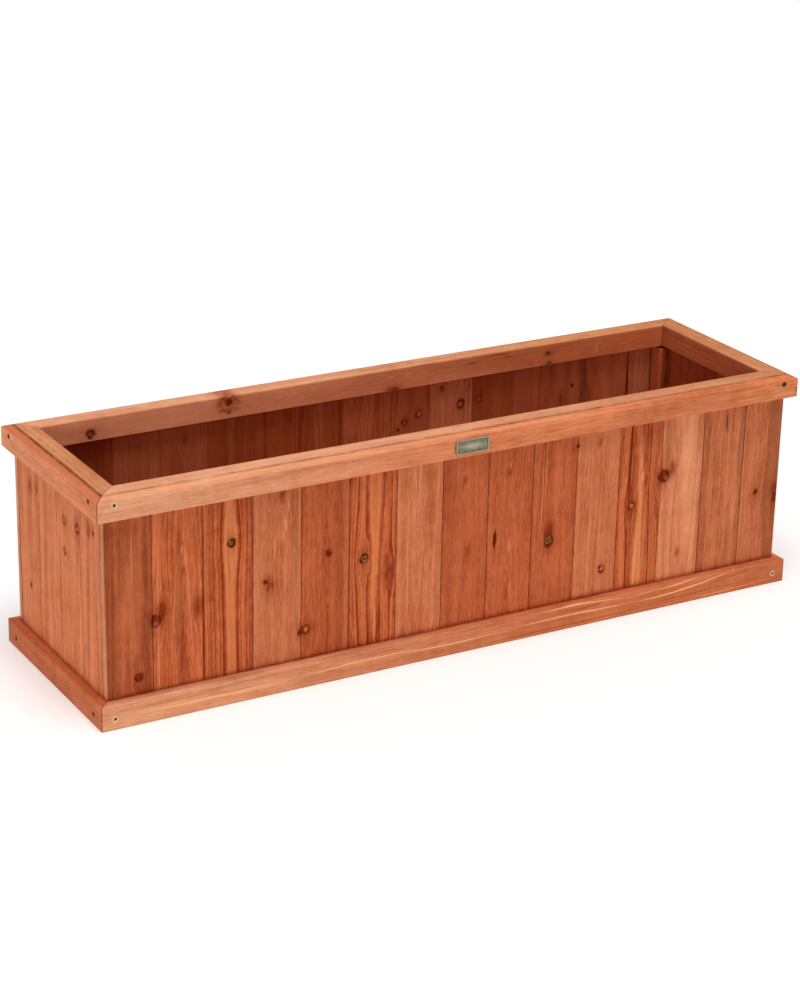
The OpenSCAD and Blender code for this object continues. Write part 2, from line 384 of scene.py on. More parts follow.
# %% Growth rings and stain
def rings_in(wood, look, bend):
    """The number of the growth ring that a point lies in, counted outwards."""
    heart_across, tip_along = look["heart"]
    aside = wood.across - heart_across - bend + wood.wander * look["wander"] + wood.ripple * 1.6
    sunk = (wood.along - tip_along) * look["taper"] + look["radius"] + wood.ripple * 0.8
    sunk = sunk + wood.wander * (0.4 * look["wander"])
    # half is how far the outer faces of two opposite pieces lie from the box's middle
    below = sunk + (look["half"] - abs(wood.depth) if look["half"] else wood.depth)
    rings = ((aside * aside + below * below).root() - look["radius"]) / look["ring"]
    return rings + (line_noise(rings * 0.4, wood.seed) - 0.5) * 1.6


def stain_in(wood, look, rings):
    """How dark the stain comes out, how far the late wood has come, and the open pores."""
    season = rings.part()
    late = step(season, 0.2, 0.85) * (1 - step(season, 0.9, 1.0))
    ring_force = random_of(rings.whole(), wood.seed)
    bands = line_noise(rings * 0.9, wood.seed + 11) - 0.5
    lines = line_noise(rings * 4.1, wood.seed + 17) - 0.5
    pores = step(wood.pore, 0.14, 0.24)
    dark = (late * ring_force * ring_force * 0.8 + bands * 1.2 + lines * 0.9) * look["contrast"]
    dark = dark + wood.fibre * (1.5 * look["fine"]) + wood.streak * (1.2 * look["streaks"])
    dark = dark + wood.broad * 0.9 + wood.stain * 0.8 + pores * 0.18 + look["depth_of_stain"]
    return dark.clamped(), late, pores


print("growth rings are counted outwards from the heart line")

# %% [markdown]
# Now the colours are laid one over another, as they came about. First the tones: a long
# piece may change its tone along the way, the wood at the heart may be paler, and another
# face may have a tone of its own: painted light on the back rail's inner face and painted
# shade on most of the others. Over them come the marks. A mark is a lens along the grain,
# wide in its middle and pointed at both ends, and a bowed one follows a curve that rises
# and sags. Then come the knots, with the shade that feathers round them.

# %% Colours laid over one another
# Where a rail's second tone turns from its near one into its far one
second_change = (-520, 420)


def toned(wood, look, rings, dark):
    """The wood in its tones of stain, and in painted light and painted shade on some faces."""
    early_colour, late_colour = TONES[look["tone"]]
    if look["far"]:
        far_tone, far_from = look["far"]
        far_early, far_late = TONES[far_tone]
        change = step(wood.along, *far_from)
        early_colour = blend(change, early_colour, far_early)
        late_colour = blend(change, late_colour, far_late)
    colour = blend(dark, early_colour, late_colour)
    if look["core_tone"]:
        core_band = (1 - step(rings, -0.6, 0.4)) * (0.6 - wood.streak * 2.5)
        colour = blend(core_band.clamped(), colour, look["core_tone"])
    if look["second"]:
        tones, second_axis, from_place, to_place = look["second"]
        calm = dark * 0.6 + 0.1
        second_near, second_far = (blend(calm, *TONES[tone]) for tone in tones)
        second = blend(step(wood.along, *second_change), second_near, second_far)
        colour = blend(step(abs(wood.axis[second_axis]), from_place, to_place), colour, second)
    return colour


def marked(wood, look, colour):
    """The same colour with the piece's marks over it."""
    for mark_across, mark_along, half_width, half_length, strength, *bow in look["marks"]:
        drift = (wood.along - mark_along) / half_length
        centre_line = mark_across
        if bow:
            rise, sag = bow
            centre_line = mark_across + drift * (rise + drift * sag)
        aside = (wood.across - centre_line + wood.ripple * 2.0 * half_width) / half_width
        mask = (1 - step(abs(aside) + drift * drift, 0.35, 1.05)) * abs(strength)
        colour = blend(mask, colour, look["pale"] if strength > 0 else dark_mark_colour)
    return colour


def knotted(wood, shade, spots, colour):
    """The same colour with the knots and the shade round them over it."""
    if spots:
        feathers = shade * (0.8 + wood.ragged + wood.streak * 3.0)
        colour = blend(feathers.clamped(), colour, knot_shade_colour)
    for mask, spot_colour in spots:
        colour = blend(mask, colour, spot_colour)
    return colour


print("a second tone changes between", *second_change, "mm along a piece")

# %% [markdown]
# Last come wear, dirt and painted shade. The outer edges are rubbed until paler wood shows,
# and an edge that is a joint between two boards keeps a dark line of dirt and painted shade.
# Dirt and painted shade darken the seams and the mitres, so each is a bell round a plane,
# broken up by the fibre and the stain.

# %% Worn edges, seams and mitres
def worn_dirty_and_shaded(wood, look, dark, colour):
    """The same colour with wear on the edges, and with dirt and painted shade in the joints."""
    for edge_axis, edge_place in look["edges"]:
        worn = bell(wood.axis[edge_axis] - edge_place, 0.9)
        colour = blend(worn * 0.8, colour, blend(dark, *TONES["bare"]))
        if look["joint"]:
            joint = bell(abs(wood.depth) - look["joint"], 1.3) * worn * (0.8 + wood.stain)
            colour = blend(joint.clamped(), colour, joint_dirt_and_shade_colour)
    # Along the seams: dirt and painted shade between boards, painted shade in the grooves and
    # under the top trim, and painted shade with dirt at the foot
    for seam_axis, seam_place, width, strength, *tint in look["seams"]:
        seam_darkening = bell(wood.axis[seam_axis] - seam_place, width)
        seam_darkening = seam_darkening * (strength + wood.fibre + wood.stain)
        colour = blend(seam_darkening.clamped(), colour, tint[0] if tint else joint_dirt_and_shade_colour)
    # The mitres: a dark line of dirt and painted shade in their gap
    if look["mitred"]:
        away = abs(wood.axis["X"]) - abs(wood.axis["Y"]) - (body_half_len - body_half_depth)
        colour = blend(bell(away, 0.8) * look["mitred"], colour, joint_dirt_and_shade_colour)
    return colour


print("a mitre lies where |X| - |Y| is", body_half_len - body_half_depth, "mm")

# %% [markdown]
# The finish of one piece puts all of this together. Fibres stand up a little and pores and
# late wood lie a little lower, which the bump shows, and softwood hardly shines. A look
# says what is special about one piece, and everything else is plain wood.

# %% The wood finish
def wood_finish(name, look, seed):
    """One piece's wood, from the heart of its log to the dirt on its faces."""
    material, shader, place = new_finish(name)
    wood = Wood(place, look["axes"], seed)
    bend, shade, spots = knots_in(wood, look["knots"])
    rings = rings_in(wood, look, bend)
    dark, late, pores = stain_in(wood, look, rings)
    colour = toned(wood, look, rings, dark)
    colour = marked(wood, look, colour)
    colour = knotted(wood, shade, spots, colour)
    colour = worn_dirty_and_shaded(wood, look, dark, colour)

    relief = wood.fibre * 0.6 + wood.streak * 0.5 - late * 0.35 * look["contrast"] - pores * 0.5
    # Every second spot, most often a knot's rim, lies a little lower than the wood
    for mask, _ in spots[1::2]:
        relief = relief - mask * 0.5
    fill(shader, {"Base Color": colour, "Roughness": 0.6 + wood.fibre * 0.25 - late * 0.08,
                  "Normal": bumped(relief, 0.4), "Specular IOR Level": 0.03})
    return material


def wood_look(axes, tone, heart, **changes):
    """A plain piece of wood, of which only what is special needs saying."""
    look = {"axes": axes, "tone": tone, "heart": heart, "radius": 20.0, "taper": 0.03,
            "ring": 4.5, "contrast": 0.6, "wander": 8.0, "half": 0.0,
            "depth_of_stain": 0.3, "streaks": 1.0, "fine": 1.0, "far": None,
            "core_tone": None, "second": None, "joint": 0.0, "pale": pale_mark_colour,
            "knots": (), "marks": (), "edges": (), "seams": (), "mitred": 0.0}
    look.update(changes)
    return look


print("looks have", len(wood_look("ZXY", "red", (0, 0))), "values each")

# %% [markdown]
# The front wall is what a visitor sees first, so its fifteen boards are described one by
# one, from the left: the stain's tone, where the heart of the log and the tip of its flame
# are, which way the flame points, and how strongly its rings show. A positive taper points
# the flame up and a negative one points it down. A board cut far from the heart has it
# well outside its own width, and its rings run straight.

# %% The boards of the front wall
FRONT_BOARDS = (
    ("brown", (-462, 245), dict(radius=14, taper=0.03, ring=5.5, contrast=0.28,
                                depth_of_stain=0.36, streaks=0.4, fine=0.6)),
    ("orange", (-394.5, 212), dict(radius=16, taper=0.05, ring=4.6, contrast=0.65)),
    ("orange", (-331, 420), dict(radius=7, taper=0.014, ring=4.2, contrast=0.95,
                                 core_tone=screen(222, 132, 80), depth_of_stain=0.4)),
    ("pink", (-276, 420), dict(radius=16, taper=0.02, ring=8, contrast=0.45)),
    ("red", (-120, 300), dict(radius=40, taper=0.02, ring=3.4, contrast=0.35, streaks=0.6)),
    ("orange", (-131, 73), dict(radius=8, taper=-0.03, ring=4.0, contrast=0.95,
                                core_tone=screen(222, 130, 78), depth_of_stain=0.38)),
    ("tan", (-69, 196), dict(radius=8, taper=-0.045, ring=9, contrast=0.4, streaks=0.7,
                             core_tone=screen(226, 146, 106))),
    ("red", (1, 420), dict(radius=26, taper=0.02, ring=3.0, contrast=0.35, streaks=0.7)),
    ("red", (62, 330), dict(radius=26, taper=0.04, ring=6.5, contrast=0.3, streaks=0.7)),
    ("red", (138, 330), dict(radius=18, taper=0.03, ring=5.5, contrast=0.4, streaks=0.7)),
    ("tan", (262, 300), dict(radius=30, taper=0.02, ring=4.5, contrast=0.35,
                             depth_of_stain=0.3)),
    ("orange", (269, 215), dict(radius=6, taper=0.028, ring=4.4, contrast=0.95,
                                core_tone=screen(230, 146, 92))),
    ("pale", (336, 72), dict(radius=14, taper=-0.06, ring=8, contrast=0.3, streaks=0.5,
                             fine=0.6)),
    ("pink", (492, 300), dict(radius=30, taper=0.02, ring=3.0, contrast=0.4,
                              depth_of_stain=0.32, streaks=0.7)),
    ("pink", (430, 300), dict(radius=30, taper=0.02, ring=4.0, contrast=0.4,
                              depth_of_stain=0.36, streaks=0.8)),
)
# Across, along, radius and kind
FRONT_KNOTS = (
    (-453.5, 57, 5.6, "tight"), (-430, 126, 7.4, "tight"), (-430.5, 122, 3.4, "heart"),
    (-421, 139, 5, "swirl"), (-373, 134, 5, "swirl"), (-328.5, 208, 5.6, "dead"),
    (-283.5, 148, 3.2, "pin"), (-276, 143, 4.5, "swirl"), (-259.5, 260, 5, "swirl"),
    (-196, 169, 4.4, "pin"), (-227, 73, 6.0, "ring"), (-236, 70, 3.0, "pin"),
    (-146, 153, 6.2, "dead"), (-111, 129, 6, "swirl"), (-1, 233, 1.8, "swirl"),
    (4, 137, 3.5, "swirl"), (65, 233, 2.4, "swirl"), (127, 126, 7.6, "dead"),
    (127, 141, 5, "swirl"), (212.5, 70, 5.4, "ring"), (200.5, 249, 2, "swirl"),
    (255.5, 152, 5.6, "ring"), (306, 185, 8.0, "tight"), (300, 185, 4.0, "pin"),
    (309, 182, 3.4, "heart"), (318, 194, 4, "swirl"), (334, 71, 2.4, "swirl"),
    (459, 136, 3.8, "pin"), (493, 122, 5.6, "tight"), (167, 250, 2.6, "pin"),
    (491, 136, 4, "swirl"),
)
# Across, along, half width, half length and strength, positive for pale and negative for
# dark, then the rise and sag of a bowed one
FRONT_MARKS = (
    # Slender ones: flecks, pale lines and cracks
    (-460, 215, 1.5, 60, 0.3), (-251.5, 244, 1.4, 12, 0.6), (-256, 219, 1.6, 12, 0.55),
    (-259, 205, 1.2, 8, 0.4), (-248, 228, 1.0, 14, 0.4), (-271, 190, 1.4, 16, 0.4),
    (-274, 90, 1.2, 90, 0.4), (46, 143, 3.6, 15, -1.0), (46, 140, 1.4, 26, -0.8),
    (67, 129, 1.4, 16, 0.5), (70, 72, 1.2, 18, 0.4), (115, 190, 1.0, 90, 0.45),
    (120, 220, 1.0, 70, 0.4),
    (404, 244, 1.3, 20, -1.0), (269, 212, 1.6, 14, 0.8), (272, 190, 1.8, 10, 0.7),
    (-395, 212, 1.5, 8, 0.6), (-83.5, 150, 0.9, 130, 0.4), (-53.5, 110, 1.2, 60, 0.3),
    (-196, 108, 1.2, 9, 0.4), (-130, 60, 2.4, 34, 0.5), (-139, 45, 1.4, 26, -0.5),
    (-366, 150, 1.2, 150, -0.4), (278, 110, 1.0, 70, 0.5), (265, 60, 2.2, 60, 0.4),
    (-427, 150, 1.0, 180, 0.3), (435.5, 130, 0.8, 150, 0.6), (66, 240, 1.5, 8, 0.5),
    (318, 170, 3.0, 14, 0.3), (331, 196, 3.0, 18, 0.25),
    # The outlines of a flame that ends in a point, then of one that opens downwards, each
    # with the darker wood inside it
    (-74.5, 249, 1.1, 24, 0.6, -3.4, 0.0), (-67.5, 249, 1.1, 24, 0.6, 3.6, 0.0),
    (-71, 240, 2.4, 26, -0.2), (-405, 150, 1.0, 80, 0.35, 6.0, 1.0),
    (-386, 150, 1.0, 80, 0.35, -6.0, -1.0), (-396, 90, 3.0, 90, -0.2),
    # Broad ones: where a board is darker or paler along one side
    (-490, 150, 9.0, 400, -0.35), (-441, 150, 9.0, 400, -0.3), (-181, 150, 9.0, 400, -0.3),
    (-240, 150, 5.0, 400, -0.15), (370, 150, 12.0, 400, -0.2), (431, 150, 6.0, 400, -0.3),
    (484, 150, 20.0, 400, -0.35), (312, 246, 10.0, 60, -0.3), (350, 200, 18.0, 160, 0.25),
    (250, 215, 4.0, 90, -0.6), (273, 250, 12.0, 60, -0.3), (292, 150, 8.0, 400, -0.25),
    (-398, 150, 12.0, 120, -0.25), (-22, 150, 9.0, 400, -0.15),
)
print("front boards:", len(FRONT_BOARDS), "knots:", len(FRONT_KNOTS), "marks:", len(FRONT_MARKS))

# %% [markdown]
# The left end shows four broad boards with a softer, more even stain and small ringed
# knots near the top. Inside, the back wall shows only its upper part below the rail. What
# lies out of sight, the back and the right end, is drawn by lot from the same kinds of
# board and knot, always in the same way, so that the box is as finished behind as in front.

# %% The boards of the other walls
LEFT_BOARDS = (
    ("honey", (118, 300), dict(radius=24, taper=0.03, ring=6, contrast=0.3, fine=0.7)),
    ("honey", (20, 300), dict(radius=24, taper=0.03, ring=6, contrast=0.3, fine=0.7)),
    ("honey", (-30, 260), dict(radius=24, taper=0.03, ring=6, contrast=0.3, fine=0.7)),
    ("honey", (-100, 300), dict(radius=24, taper=0.03, ring=7, contrast=0.3, fine=0.7)),
)
LEFT_KNOTS = (
    (-20, 226, 5.8, "soft"), (-60, 229, 6.2, "ring"), (-20, 186, 4.8, "soft"),
    (-108, 241, 2.4, "pin"), (-96, 239, 3.6, "swirl"), (88, 233, 3.4, "swirl"),
    (94, 97, 3.4, "pin"), (66, 236, 2.2, "swirl"),
)
LEFT_MARKS = (
    (0, 190, 2.6, 60, 0.55), (64, 130, 2.0, 130, -0.3), (52, 150, 1.6, 130, 0.4),
    (-62, 110, 1.6, 90, 0.4), (-3, 120, 1.4, 110, -0.25), (-66, 200, 1.8, 80, -0.3),
    (64, 260, 2.4, 40, -0.35),
)
BACK_KNOTS = (
    (-266, 244, 2.2, "swirl"), (-114, 249, 3.6, "soft"), (61.5, 214, 4.4, "ring"),
    (83, 223, 5.2, "ring"), (51, 205, 2.2, "pin"), (118.5, 254, 3.6, "dead"),
    (149, 227, 6.4, "ring"), (178.5, 230, 5.2, "soft"), (331, 226, 2.6, "pin"),
    (312, 209, 4.5, "swirl"),
)
BACK_MARKS = (
    (424, 190, 4.0, 110, -0.9), (463, 230, 3.0, 70, -0.7), (-200, 220, 8.0, 150, 0.12),
    (-70, 220, 9.0, 150, 0.14), (208, 220, 9.0, 150, 0.08), (-150, 220, 3.0, 120, -0.35),
    (-38, 220, 4.0, 120, -0.35), (350, 220, 9.0, 150, -0.4), (445, 220, 9.0, 150, 0.12),
    (-310, 220, 9.0, 150, 0.12), (20, 220, 5.0, 150, -0.3), (-355, 220, 10.0, 150, 0.1),
    (-405, 230, 60.0, 300, -0.3),
)
# The tones that show inside, from the right for the back wall: dark for most boards, as painted
# shade inside the box
INNER_SHADED_TONES = {
    "back": ["tan", "orange", "brown", "red", "deep", "honey", "red", "orange",
             "deep", "deep", "deep", "brown", "brown", "deep", "deep"],
    "right": ["deep", "brown", "deep", "deep"],
}
chance = random.Random(7)


def drawn_board(centre):
    """A board drawn by lot, its heart near or far and its flame pointing up or down."""
    tone = chance.choice(("red", "red", "orange", "orange", "pink", "tan"))
    heart = (centre + chance.uniform(-40, 40), chance.uniform(40, 320))
    changes = dict(radius=chance.uniform(8, 28), taper=chance.choice((0.03, 0.05, -0.04)),
                   ring=chance.uniform(3.6, 7), contrast=chance.uniform(0.35, 0.9))
    return tone, heart, changes


def drawn_knots(centre, half_width, top):
    """No knot, one or two, kept below the given height."""
    return tuple((centre + chance.uniform(-0.8, 0.8) * half_width, chance.uniform(45, top),
                  chance.uniform(2.5, 6), chance.choice(("tight", "tight", "dead", "pin")))
                 for _ in range(chance.choice((0, 0, 1, 1, 2))))


print("knots placed by hand on the left end and inside the back:",
      len(LEFT_KNOTS) + len(BACK_KNOTS))

# %% [markdown]
# The four walls have the same make, so a table says what differs. Stain and dirt gather in
# the seams between two boards, painted shade deepens them, and painted shade lies where
# the boards go behind the trims, so a dark line runs along each. Where the boards meet is
# read from the boards themselves.

# %% The four walls
LONG_SIDES = ("front", "back")
SIDES = ("front", "right", "back", "left")
# Each wall: its axes, boards, knots and marks, how much dirt and painted shade lies in the
# seams between its boards, and how much painted shade lies at their foot
WALLS = {
    "front": ("ZXY", FRONT_BOARDS, FRONT_KNOTS, FRONT_MARKS, 0.6, 0.7),
    "left": ("ZYX", LEFT_BOARDS, LEFT_KNOTS, LEFT_MARKS, 0.45, 0.35),
    "back": ("ZXY", None, BACK_KNOTS, BACK_MARKS, 0.25, 0.7),
    "right": ("ZYX", None, (), (), 0.6, 0.7),
}
highest_drawn_knot = 190
foot_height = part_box("front_base_trim")[1].z / MM
head_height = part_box("front_top_trim")[0].z / MM


def wall_nodes(wall):
    names = [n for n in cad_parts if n.startswith(wall + "_board_")]
    return sorted(names, key=lambda name: int(name.rsplit("_", 1)[1]))


def seam_places(wall):
    """Where boards meet, across the wall's face; an end wall also meets the long walls."""
    axis = 0 if wall in LONG_SIDES else 1
    starts = sorted(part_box(name)[0][axis] / MM for name in wall_nodes(wall))
    return starts[1:] if wall in LONG_SIDES else starts + [-starts[0]]


print("seams in the front wall:", len(seam_places("front")))

# %% [markdown]
# Each wall's boards are dressed in one loop. A knot or a mark belongs to the board it lies
# on, with a little to spare for knots that a seam cuts through. The long walls' outer
# edges stand beside the ends as paler strips, because the edge of a board takes less stain
# than its face. The inside of the back and right walls has tones of its own, most of them
# darker, as painted shade inside the box.

# %% Dress the wall boards
def on_board(things, low, high, spare):
    return tuple(t for t in things if low - spare <= t[0] <= high + spare)


for wall, (axes, boards, knots, marks, seam_dirt_and_shade, foot_shade_strength) in WALLS.items():
    half = body_half_depth if axes[2] == "Y" else body_half_len
    for number, name in enumerate(wall_nodes(wall)):
        low, high = (corner[AXES[axes[1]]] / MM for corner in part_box(name))
        centre, half_width = (low + high) / 2, (high - low) / 2
        # Every board draws its lot, also one that is described, so that no later lot changes
        tone, heart, changes = drawn_board(centre)
        drawn = drawn_knots(centre, half_width, highest_drawn_knot)
        if boards:
            tone, heart, changes = boards[number]
            drawn = ()
        seams = [(axes[1], edge, 0.8, seam_dirt_and_shade) for edge in seam_places(wall)
                 if low - 2 < edge < high + 2]
        # Painted shade along the boards' foot above the base trim, and a painted shadow under the
        # top trim
        seams += [("Z", foot_height, 4.0, foot_shade_strength, foot_shade_and_dirt_colour), ("Z", head_height, 2.0, 0.5)]
        look = wood_look(axes, tone, heart, half=half, seams=seams,
                         knots=on_board(knots, low, high, 3) + drawn,
                         marks=on_board(marks, low, high, 0), **changes)
        if wall in LONG_SIDES:
            look["edges"] = (("X", -body_half_len), ("X", body_half_len))
            look["joint"] = body_half_depth - board_thickness
        # Inner faces: each board's inner tone, darkened for most boards as painted shade
        if wall in INNER_SHADED_TONES:
            look["second"] = ((INNER_SHADED_TONES[wall][number],) * 2, axes[2], half - 4, half - 8)
            look["fine"] = 0.6
            look["streaks"] = 0.7
        dress(name, wood_finish(name + "_wood", look, 17.3 * number + 3.1 * len(wall)))
print("wall boards dressed:", sum(len(wall_nodes(wall)) for wall in WALLS))

# %% [markdown]
# The rim rails and the trims are cut from straighter, paler stock, and their grain runs
# along them. Their hearts lie outside the wood, so the rings show as long lines, with a
# few slow sweeps where the saw left the grain. On the two long sides the grain runs along
# X, and on the ends along Y.

# %% The rails and trims
# For each kind: the height of the heart, how wide the painted shade and dirt along the wall is,
# and its look
LENGTHWISE = {
    "rim_rail": (330, 1.5, dict(radius=30, ring=5.0, contrast=0.35, streaks=0.5, mitred=0.15)),
    "top_trim": (240, 2.2, dict(radius=24, ring=4.0, contrast=0.35, streaks=0.5, mitred=0.6)),
    "base_trim": (34, 2.2, dict(radius=12, ring=5.5, contrast=0.25, streaks=0.6, mitred=0.6,
                                pale=pale_figure_colour)),
}
# The tone of a piece and, where it changes, the far tone and where one turns into the other
LENGTHWISE_TONES = {
    "front_top_trim": ("bare", ("honey", (-480, 100))),
    "front_base_trim": ("bare", ("amber", (-560, 240))),
    "back_rim_rail": ("bare", ("sand", (-450, 500))),
    "front_rim_rail": ("bare", ("sand", (-300, 500))),
    "left_rim_rail": ("sand", None),
    "right_rim_rail": ("sand", None),
    "right_top_trim": ("sand", None),
    "back_top_trim": ("sand", None),
    "left_top_trim": ("honey", ("bare", (-300, 500))),
    "left_base_trim": ("amber", None),
}
# The face of the wall that each side's rail and trims stand on
WALL_FACES = {
    "front": ("Y", -body_half_depth), "right": ("X", body_half_len),
    "back": ("Y", body_half_depth), "left": ("X", -body_half_len),
}
# Along, up the face, radius and kind
RAIL_KNOTS = {
    "back_rim_rail": ((-403, 278.5, 6.2, "rosy"), (-211, 289, 14, "halo"),
                      (-210, 290.5, 5.6, "bead"), (279, 284.5, 3.2, "dead"),
                      (282, 270, 2.8, "dead"), (35, 271, 4, "swirl")),
}
# Faces with tones of their own: painted light on the back rail's faces below its top,
# brightest at the left, and painted shade on the right rail's faces below its top, on the
# left top trim's shoulder and on the left base trim's top, which is dusty too; their
# tones, and the heights where they begin
rim_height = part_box("front_rim_rail")[1].z / MM
LIT_AND_SHADED_FACE_TONES = {
    "back_rim_rail": (("glow", "orange"), "Z", rim_height - 0.2, rim_height - 2.2),
    "right_rim_rail": (("brown", "brown"), "Z", rim_height - 0.2, rim_height - 2.2),
    "left_top_trim": (("amber", "amber"), "Z", rim_height - 5.5, rim_height - 4),
    "left_base_trim": (("red", "red"), "Z", 31.5, 33.0),
}
# Up the face, along, half width, half length and strength, then rise and sag of a bowed one
TRIM_MARKS = {
    "front_base_trim": (
        (15, -370, 2.6, 130, 0.8), (18, -430, 2.0, 60, 0.4), (12.5, -300, 1.4, 70, 0.5),
        (19.3, -155, 1.3, 100, 0.8, 1.5, -3.8),
        (15.8, -20, 1.2, 90, 0.8, -0.4, 1.7), (19.5, 155, 1.2, 110, 0.8, -0.2, -2.7),
        (20.5, 340, 1.4, 96, 0.9, 9.2, 5.3), (31.2, 178, 1.2, 84, 0.8, -2.5, -3.9),
        (29.6, 331, 1.2, 36, 0.8, 3.8, 0.0), (26.0, 174, 2.0, 40, -0.25),
        (27.6, 300, 1.0, 60, 0.5, 2.0, 0.0), (17.6, 210, 1.0, 60, 0.4, -1.0, 0.0),
        (6.0, 180, 1.0, 240, -0.5, 2.0, 0.0), (24, 420, 1.6, 60, -0.3, 8.0, 2.0),
        (10.5, 330, 1.2, 120, -0.4, 2.0, 1.0), (27, -300, 1.2, 160, -0.2, 1.0, 0.5),
        # The dark marks 18 mm up and 508.4 mm to each side are a dark joint and painted shade at
        # the mitred ends
        (5.5, 420, 1.0, 90, 0.4, 2.0, 0.0), (18, 508.4, 15, 1.6, -0.9),
        (34.6, -300, 3.4, 420, -0.3), (18, -508.4, 10, 1.2, -0.5),
    ),
    "back_rim_rail": (
        (287.5, 30, 1.2, 7, 0.7), (288, 60, 1.2, 9, 0.6), (289, 157, 2.4, 9, -0.4),
        (295, 200, 1.2, 24, -0.6), (290, 214, 1.2, 9, -0.5), (297.5, 80, 1.0, 26, -0.5),
        (282, 359, 14, 2.2, 0.35), (283, 464, 16, 4, 0.1), (276, -300, 3.0, 90, 0.2),
        (292, -330, 2.0, 60, 0.25), (274, 150, 4.0, 90, 0.15), (270, 100, 1.5, 200, 0.2),
    ),
    "front_top_trim": (
        (275.5, 484, 3.4, 26, 0.4), (281, 476, 2.2, 16, 0.3), (285.5, 470, 1.6, 10, 0.35),
        (289.5, 478, 1.2, 14, -0.35), (286.5, 498, 1.4, 9, -0.4), (280, 506, 7, 2.2, -0.4),
        # The pale band 297 mm up, along the shoulder, is thinner stain and a painted sheen
        (297, -240, 4.5, 560, 0.35), (282, 350, 26, 170, -0.12), (290, 74, 1.8, 4, -0.25),
        # A painted shadow of the name plate on the trim, at its left edge
        (282.3, -25.2, 8.5, 1.2, -0.8),
    ),
}
print("marks on rails and trims:", sum(len(marks) for marks in TRIM_MARKS.values()))

# %% [markdown]
# One loop dresses them all. A dark line is painted where a rail or a trim meets the wall:
# painted shade in the groove between rim and top trim, strongest on the left end, and at
# the foot painted shade with dirt, the most of it. The mitres at the corners show as dark
# lines of dirt and painted shade. The lower edge of the rim inside the box is worn pale.

# %% Dress the rails and trims
for kind, (heart_height, dirt_and_shade_width, changes) in LENGTHWISE.items():
    for number, side in enumerate(SIDES):
        name = side + "_" + kind
        tone, far = LENGTHWISE_TONES.get(name, ("honey", None))
        tip = chance.uniform(-900, 900)
        # Painted shade in the groove between rim and top trim, stronger on the left; at the base
        # trims painted shade and dirt
        seam = (*WALL_FACES[side], dirt_and_shade_width, 0.6 if side == "left" else 0.35)
        if kind == "base_trim":
            seam = (*WALL_FACES[side], dirt_and_shade_width, 0.7, foot_shade_and_dirt_colour)
        look = wood_look("XZY" if side in LONG_SIDES else "YZX", tone, (heart_height, tip),
                         taper=chance.choice((0.012, -0.012)), wander=24.0, fine=0.85, far=far,
                         half=body_half_depth if side in LONG_SIDES else body_half_len,
                         knots=tuple((k[1], k[0]) + k[2:] for k in RAIL_KNOTS.get(name, ())),
                         marks=TRIM_MARKS.get(name, ()), second=LIT_AND_SHADED_FACE_TONES.get(name),
                         seams=(seam,), **changes)
        if kind == "rim_rail":
            look["edges"] = (("Z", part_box(name)[0].z / MM),)
        dress(name, wood_finish(name + "_wood", look, 29.0 * number + 7.7 * len(kind)))
print("rails and trims dressed:", len(LENGTHWISE) * len(SIDES))

# %% [markdown]
# Inside are the square corner posts and battens, and the slats that soil rests on. They
# are plain stock. Each post keeps its stain on the face towards the middle of the box and
# is painted dark as shade elsewhere, darkest where it meets the end wall. All the slats are
# one node, so one log runs through them all, but it wanders so much on its way that each
# slat shows rings of its own.

# %% Dress the frame and the floor
for number, side in enumerate(SIDES):
    name = side + "_corner_post"
    low, high = (corner[0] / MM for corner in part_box(name))
    middle = (low + high) / 2
    inner_face = abs(middle) - (high - low) / 2
    # Painted shade: the deep second tone on all but the face towards the middle, and the dark seam
    # at the end wall
    look = wood_look("ZXY", "orange", (middle + 25, 200), radius=16, ring=4.0,
                     contrast=0.3, fine=0.6, depth_of_stain=0.12,
                     second=(("deep", "deep"), "X", inner_face + 0.4, inner_face + 3.0),
                     seams=[("X", middle + math.copysign(2, middle), 4.5, 0.6)])
    dress(name, wood_finish(name + "_wood", look, 41.0 * number))
for number, name in enumerate(("front_batten", "back_batten")):
    look = wood_look("XZY", "red", (40, 300), radius=18, ring=4.0, contrast=0.4)
    dress(name, wood_finish(name + "_wood", look, 61.0 + 5 * number))
look = wood_look("YXZ", "red", (0, 0), radius=60, taper=0.04, ring=5.0, contrast=0.5,
                 wander=160.0)
dress("floor_slats", wood_finish("floor_slats_wood", look, 83.0))
print("posts, battens and slats dressed")

# %% [markdown]
# Metal is bright where it is handled and dull elsewhere, with fine scratches, so one finish
# with other colours serves the screws, the nails and the plate. The nails are plain zinc
# and need nothing more. For the other two it helps to know how far out a point lies.

# %% The metal finish
def metal_finish(name, bright, dull, lump, metallic, rough):
    """Plated metal, bright in some places and dull in others, and its colour and place."""
    material, shader, place = new_finish(name)
    drift = noise(place, (lump, lump, lump), 5.0, 4.0, 0.65)
    colour = blend(step(drift, 0.35, 0.65), bright, dull)
    scratch = noise(place, (0.25, 4.0, 0.25), 9.0, 2.0) - 0.5
    fill(shader, {"Base Color": colour, "Roughness": rough + scratch * 0.2 + drift * 0.1,
                  "Normal": bumped(drift + scratch * 0.5, 0.1), "Metallic": metallic})
    return material, shader, place, colour


def outside(place):
    """How far a point stands outside the walls' faces, in millimetres."""
    coords = place.node("ShaderNodeSeparateXYZ", None, {0: place})
    beyond_ends = abs(coords) - body_half_len
    beyond_sides = abs(coords.sibling("Y")) - body_half_depth
    return beyond_ends.most(beyond_sides)


nail = metal_finish("zinc_nail", screen(190, 190, 188), screen(128, 128, 126), 1.2, 0.8, 0.4)[0]
dress("floor_nails", nail)
print("nails dressed with", nail.name)

# %% [markdown]
# The screws have the pale yellow of zinc plating, and their cross recess is painted dark as
# shade. How deep a point lies below the trims' outer faces tells the recess from the head.
# The screws in the ends and those at the top right are nearly as brown as the wood.

